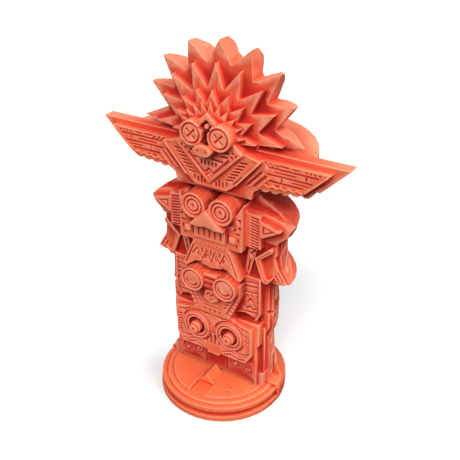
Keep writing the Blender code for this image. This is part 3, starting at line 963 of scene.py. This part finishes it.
@dataclass
class BeakedFigure:
    """The second figure: round ringed eyes, a beak, teeth, ear horns, hatched columns and a bib.

    Args:
        eye: Centre of an eye, mirrored for the other.
        fine: Width of a fine cut.
    """

    eye: Point = (8.2, 121.2)
    fine: float = 0.95

    def carve(self, casting: Casting) -> None:
        """Carve the face, the columns beside it and the bib."""
        for carve in (self.carve_face, self.carve_columns, self.carve_bib):
            carve(casting)

    def carve_face(self, casting: Casting) -> None:
        """Cut the inner rings of the eyes and the marks beside the beak.

        Args:
            casting: The totem.
        """
        (x, z), w = self.eye, self.fine
        for side in (-1, 1):
            casting.sink(ring(side * x, z, 3.7, 2.8), 3.92, 0.9)
            casting.rise(ring(side * x, z, 6.95, 6.1), 3.92, 0.4)
        marks = [
            [(15.9, 118.0), (18.1, 118.7), (18.1, 115.9)],
            [(16.2, 113.0), (18.1, 114.5), (18.1, 111.8)],
            box(14.6, 18.0, 109.3, 110.2),
            box(15.3, 16.2, 101.2, 103.3),
            stroke([(10.7, 108.8), (10.7, 102.2)], w),
            stroke([(16.8, 107.2), (16.8, 104.4)], w),
        ]
        casting.sink(both(marks + hatch((11.8, 113.5), (14.6, 111.7), 2, (1.5, 2.2), w)), 3, 1.1)

    def carve_columns(self, casting: Casting) -> None:
        """Cut the hood over the eyes and the columns' hatching, and raise a triangle in each ear horn.

        Args:
            casting: The totem.
        """
        (x, z), brim = self.eye, 7.2
        turns = [math.radians(15.0 * k) for k in range(13)]
        hood = [(0.0, 129.6), (15.2, 129.5), (18.3, 126.2), (15.8, 121.4)]
        hood += [(x + brim * math.cos(t), z + brim * math.sin(t)) for t in turns] + [(0.0, z)]
        casting.sink([mirrored(hood)], 1.94, 9.0)
        casting.sink(both(hatch((24.0, 119.3), (24.0, 102.8), 6, (4.9, -0.7), 0.95)), 1.94, 1.2)
        casting.rise(both([[(29.6, 115.3), (33.0, 114.3), (29.6, 112.6)]]), 1.78, 0.9)

    def carve_bib(self, casting: Casting) -> None:
        """Cut the bib's dots and lines, the seam below it and the slot under the winged head.

        Args:
            casting: The totem.
        """
        lines = [
            ((10.7, 96.0), (16.0, 83.6)), ((8.4, 92.2), (7.4, 89.6)), ((2.4, 92.4), (3.5, 89.4)),
            ((5.4, 95.6), (5.4, 92.4)), ((0.0, 95.4), (0.0, 91.8)), ((5.0, 86.8), (7.8, 86.2)),
        ]
        dots = [disc(x, 98.3, 0.5, 6) for x in (1.2, 3.6, 6.0, 8.4)]
        casting.sink(both([stroke(list(line), 0.9) for line in lines] + dots), 3.03, 0.95)
        casting.sink([mirrored([(0.0, 86.0), (9.5, 87.4), (16.3, 83.0), (0.0, 83.0)])], 1.94, 9.0)
        casting.sink([box(-21.0, 21.0, 129.2, 131.2)], 1.94, 11.5)


@dataclass
class Claws:
    """Folded claws at the second figure's sides, with notched inner strips.

    Args:
        fine: Width of a fine cut.
    """

    fine: float = 0.9

    def carve(self, casting: Casting) -> None:
        """Cut the strips and line the claws.

        Args:
            casting: The totem.
        """
        w = self.fine
        strips = [
            stroke([(20.4, 100.0), (23.2, 98.8), (20.6, 97.0), (22.4, 95.2)], w),
            stroke([(20.2, 92.8), (18.9, 85.6)], w),
        ]
        casting.sink(both(strips), 1.17, 1.0)
        casting.rise(both([stroke([(32.2, 102.7), (24.0, 95.0), (28.6, 82.0)], w)]), 1.44, 0.5)
        tips = [stroke([(35.0, 88.6), (38.6, 83.0)], w), stroke([(34.2, 86.4), (36.2, 82.8)], w)]
        casting.sink(both(tips), 0.64, 0.9)


@dataclass
class GoggleFigure:
    """The third figure: goggles on straps, marked cheeks and a tapered muzzle.

    Args:
        lens: Centre of a goggle, mirrored for the other.
        fine: Width of a fine cut.
    """

    lens: Point = (10.1, 75.8)
    fine: float = 0.9

    def carve(self, casting: Casting) -> None:
        """Carve the goggles, the cheeks and the muzzle."""
        for carve in (self.carve_goggles, self.carve_cheeks, self.carve_muzzle):
            carve(casting)

    def carve_goggles(self, casting: Casting) -> None:
        """Cut a crescent in each goggle and raise its rim.

        Args:
            casting: The totem.
        """
        x, z = self.lens
        for side in (-1, 1):
            casting.sink([arc(side * x, z, 3.5, 185.0, 335.0, 1.05)], 4, 1.0)
            casting.rise(ring(side * x, z, 6.85, 6.0), 4, 0.4)

    def carve_cheeks(self, casting: Casting) -> None:
        """Cut small marks under the straps and a hollow under each cheek, and raise the outer edges.

        Args:
            casting: The totem.
        """
        w = self.fine
        marks = [
            disc(16.5, 69.7, 0.75, 8),
            disc(25.5, 67.2, 0.75, 8),
            stroke([(16.9, 59.6), (25.6, 60.4)], 1.0),
            stroke([(16.4, 63.2), (18.6, 61.9), (20.6, 63.4), (22.6, 62.1), (25.4, 63.4)], w),
        ]
        marks += hatch((18.9, 70.4), (24.9, 71.2), 3, (1.4, -1.2), w)
        casting.sink(both(marks), 1.39, 1.0)
        hollow = [(12.0, 53.2), (13.0, 57.2), (18.0, 58.4), (25.0, 56.4), (26.4, 53.2)]
        casting.sink(both([hollow]), 1.39, 8.0)
        casting.rise(both([stroke([(26.6, 82.0), (26.6, 60.4), (24.3, 55.4)], 1.0)]), 1.39, 0.5)

    def carve_muzzle(self, casting: Casting) -> None:
        """Cut the muzzle's border ticks, whisker strokes, nose pattern and chin strokes.

        Args:
            casting: The totem.
        """
        w = self.fine
        ticks = hatch((15.6, 67.2), (11.0, 57.2), 5, (1.5, -0.6), 0.85)
        strokes = hatch((11.4, 67.8), (7.8, 61.0), 4, (2.6, 1.0), w)
        rows = hatch((-4.8, 56.3), (4.8, 56.3), 4, (0.0, 1.9), w)
        dots = [disc(7.2, 67.6, 0.7, 6), disc(5.4, 61.0, 0.65, 6)]
        casting.sink(both(ticks + strokes + dots) + rows, 2.94, 1.0)
        nose = [stroke(zigzag((-3.0, 66.6), (3.0, 66.6), 2, 1.7), 0.85), disc(0.0, 64.2, 0.7, 6)]
        casting.sink(nose, 3.25, 0.8)


@dataclass
class FootFigure:
    """The fourth figure: deep round eyes in contour lines, teeth, a curled lip and side hatching.

    Args:
        eye: Centre of an eye, mirrored for the other.
        pupil: Centre of its pupil.
        fine: Width of a fine cut.
    """

    eye: Point = (10.6, 42.4)
    pupil: Point = (10.9, 41.6)
    fine: float = 0.95

    def carve(self, casting: Casting) -> None:
        """Carve the eyes, the mouth and the foot."""
        for carve in (self.carve_eyes, self.carve_mouth, self.carve_foot):
            carve(casting)

    def carve_eyes(self, casting: Casting) -> None:
        """Cut the contour lines round the eyes and the pupils, and raise the eyes' rims.

        Args:
            casting: The totem.
        """
        (x, z), (pupil_x, pupil_z), w = self.eye, self.pupil, self.fine
        brow = stroke([(2.2, 53.0), (8.8, 53.0), (22.8, 50.0)], w)
        casting.sink(both([arc(x, z, 9.65, 22.0, 164.0, w), brow]), 2.86, 1.0)
        for side in (-1, 1):
            casting.rise(ring(side * x, z, 8.4, 7.6), 3.03, 0.4)
            casting.sink(ring(side * pupil_x, pupil_z, 3.6, 2.5), 3.94, 1.7)
            casting.sink([disc(side * pupil_x, pupil_z, 0.75, 10)], 3.94, 1.0)
        lines = [
            arc(x, z, 9.7, 196.0, 250.0, w),
            arc(x, z, 9.7, 292.0, 344.0, w),
            arc(x, z, 11.3, 40.0, 120.0, w),
        ]
        casting.sink(both(lines), 2.86, 1.0)

    def carve_mouth(self, casting: Casting) -> None:
        """Cut the hatching beside the eyes, the second and third line of the lip, and the teeth.

        Args:
            casting: The totem.
        """
        w = self.fine
        casting.sink(both(hatch((22.1, 46.2), (22.1, 35.4), 4, (3.0, -0.5), 1.05)), 2.86, 1.1)
        lips = [
            stroke([(23.0, 34.3), (19.8, 33.2), (17.0, 32.9), (14.6, 33.5)], w),
            stroke([(20.6, 29.9), (16.6, 28.6), (12.0, 30.2), (7.0, 28.5)], w),
        ]
        teeth = [
            box(0.8, 1.8, 33.2, 39.8), box(3.4, 4.4, 33.2, 36.6), stroke([(0.6, 41.1), (2.0, 41.1)], 1.0),
        ]
        casting.sink(both(lips + teeth), 2.86, 1.0)

    def carve_foot(self, casting: Casting) -> None:
        """Cut faint curls over the foot, a slot along it, and short cuts in the slab's side walls.

        Args:
            casting: The totem.
        """
        curls = [
            spiral(12.4, 22.0, 3.8, 1.2, 90.0, 0.85),
            spiral(20.2, 20.4, 3.0, -1.1, 60.0, 0.85),
            stroke([(6.8, 26.2), (6.8, 14.4)], 0.85),
        ]
        casting.sink(both(curls), 1.89, 0.6)
        casting.sink([box(-25.4, 25.4, 10.8, 13.5)], 1.89, 6.0)
        rows = hatch((-4.9, 46.0), (-4.9, 30.0), 8, (2.6, 0.0), 0.8)
        outside, bottom = 0.0284, 0.0258
        for wall, facing in ((1, Facing.RIGHT), (-1, Facing.LEFT)):
            casting.sunk.append(prisms(rows, wall * outside, wall * bottom, facing))


@dataclass
class PlinthTop:
    """Small raised marks on the plinth's floor.

    Args:
        floor: Height of the floor in metres.
        path_edge: How far the path's edge lies from the middle, in millimetres.
        proud: How far the marks stand out, and are rooted, in metres.
    """

    floor: float = 0.011
    path_edge: float = 5.3
    proud: float = 0.0006

    def carve(self, casting: Casting) -> None:
        """Raise an edge along the path and two short strokes on the floor.

        Args:
            casting: The plinth.
        """
        marks = [
            stroke([(-self.path_edge, -12.0), (-self.path_edge, -28.2)], 0.7),
            stroke([(13.6, -17.4), (16.9, -17.2)], 0.8),
            stroke([(-30.4, -2.2), (-29.4, 1.8)], 0.8),
        ]
        casting.raised.append(prisms(marks, self.floor + self.proud, self.floor - self.proud, Facing.TOP))


@dataclass
class Photographer:
    """The camera, at the photograph's place.

    Args:
        azimuth: Degrees round from the front, towards the sculpture's left hand.
        elevation: Degrees above the horizon.
        roll: Degrees of roll.
        place: Place in metres.
        lens: Focal length in millimetres on a 36 mm sensor.
    """

    azimuth: float = 31.613
    elevation: float = 29.915
    roll: float = -0.323
    place: tuple[float, float, float] = (0.16986, -0.26731, 0.28453)
    lens: float = 54.10

    def build(self) -> None:
        """Add the camera and make it the scene's."""
        a, e, r = (math.radians(v) for v in (self.azimuth, self.elevation, self.roll))
        back = Vector((math.sin(a) * math.cos(e), -math.cos(a) * math.cos(e), math.sin(e)))
        right = Vector((math.cos(a), math.sin(a), 0.0))
        up = back.cross(right)
        axes = (math.cos(r) * right + math.sin(r) * up, math.cos(r) * up - math.sin(r) * right, back)
        bpy.ops.object.camera_add(location=self.place)
        camera = bpy.context.object
        camera.rotation_euler = Matrix(axes).transposed().to_euler()
        camera.data.lens = self.lens
        camera.data.clip_start = 0.01
        bpy.context.scene.camera = camera


@dataclass
class LightRoom:
    """Pale floor, broad soft lights and bright air.

    Args:
        air: Strength of the air's light on the sculpture.
        glint: Strength of the air's mirror image in the sculpture.
        softness: Angle in degrees that each light fills.
    """

    air: float = 0.2
    glint: float = 0.5
    softness: float = 35.0

    def lamp(self, way: tuple[float, float, float], strength: float, tone: Studio) -> None:
        """Add one broad, far and soft light.

        Args:
            way: Direction from the sculpture to the light.
            strength: Strength, where 3.14 lights a white floor fully.
            tone: Its tone.
        """
        bpy.ops.object.light_add(type="SUN", location=Vector(way))
        light = bpy.context.object
        light.data.energy = strength
        light.data.angle = math.radians(self.softness)
        light.data.color = linear(tone.value)[:3]
        light.rotation_euler = (-Vector(way)).to_track_quat("-Z", "Y").to_euler()

    def lay_floor(self) -> None:
        """Lay matte paper. It throws back less light than it shows, so the undersides stay dark."""
        deselect_all()
        breadth, gap = 8.0, 0.0002
        bpy.ops.mesh.primitive_plane_add(size=breadth, location=(0.0, 0.0, -gap))
        floor = bpy.context.object
        floor.name = "floor"
        floor.data.transform(Matrix.Translation(floor.location))
        floor.location = (0.0, 0.0, 0.0)
        paper = bpy.data.materials.new("matte_paper_floor")
        paper.use_nodes = True
        tree = paper.node_tree
        fibre = node(tree, "ShaderNodeTexNoise", {"Scale": 220.0, "Detail": 2.0})
        tone = node(
            tree, "ShaderNodeMix",
            {0: fibre.outputs["Fac"], 6: linear(Studio.FLOOR.value), 7: linear(Studio.FIBRE.value)},
            data_type="RGBA",
        )
        seen = node(tree, "ShaderNodeLightPath", {}).outputs["Is Camera Ray"]
        shown = node(
            tree, "ShaderNodeMix", {0: seen, 6: linear(Studio.SHADE.value), 7: tone.outputs[2]},
            data_type="RGBA",
        )
        shader = tree.nodes["Principled BSDF"]
        tree.links.new(shown.outputs[2], shader.inputs["Base Color"])
        shader.inputs["Roughness"].default_value = 0.9
        shader.inputs["Specular IOR Level"].default_value = 0.0
        floor.data.materials.append(paper)

    def build(self) -> None:
        """Lay the floor, hang the lights and set the air, which looks white behind the sculpture."""
        self.lay_floor()
        self.lamp((0.35, 0.25, 0.9), 1.5, Studio.AIR)
        self.lamp((0.12, -0.68, 0.73), 2.75, Studio.AIR)
        self.lamp((0.85, -0.25, 0.45), 1.25, Studio.WARM)
        air = bpy.data.worlds.new("air")
        air.use_nodes = True
        tree = air.node_tree
        rays = node(tree, "ShaderNodeLightPath", {}).outputs
        unseen = node(
            tree, "ShaderNodeMapRange",
            {"Value": rays["Is Glossy Ray"], "To Min": self.air, "To Max": self.glint},
        )
        strength = node(
            tree, "ShaderNodeMapRange",
            {"Value": rays["Is Camera Ray"], "To Min": unseen.outputs["Result"], "To Max": 1.0},
        ).outputs["Result"]
        tree.nodes["Background"].inputs["Color"].default_value = linear(Studio.AIR.value)
        tree.links.new(strength, tree.nodes["Background"].inputs["Strength"])
        bpy.context.scene.world = air
        bpy.context.scene.view_settings.view_transform = "Standard"


def dress(casting: Casting, finish: ResinFinish) -> None:
    """Finish a casting, paint it and let it stand for its solid.

    Args:
        casting: The cast piece.
        finish: Its resin.
    """
    piece = casting.finish()
    piece.data.materials.append(resin(finish))
    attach(piece, "root")
    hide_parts(casting.node)
    LOG.info("%s stands for %s", casting.name, casting.node)


def main() -> None:
    """Build the camera, the room and the pieces."""
    logging.basicConfig(level=logging.INFO, format="%(message)s")
    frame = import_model()
    deselect_all()
    Photographer().build()
    LightRoom().build()
    coarse = 1.0
    totem = Casting("totem_casting", "totem", 0.0003 * coarse, 196000, RoundBack(), DeepShade())
    totem.start(frame["nodes"])
    for figure in (Crest(), WingedHead(), BeakedFigure(), Claws(), GoggleFigure(), FootFigure()):
        figure.carve(totem)
        LOG.info("%s carved", type(figure).__name__)
    dress(totem, CORAL_RESIN)
    plinth = Casting("plinth_casting", "plinth", 0.00035 * coarse, 60000)
    plinth.start(frame["nodes"])
    PlinthTop().carve(plinth)
    dress(plinth, PLINTH_RESIN)


if __name__ == "__main__":
    main()
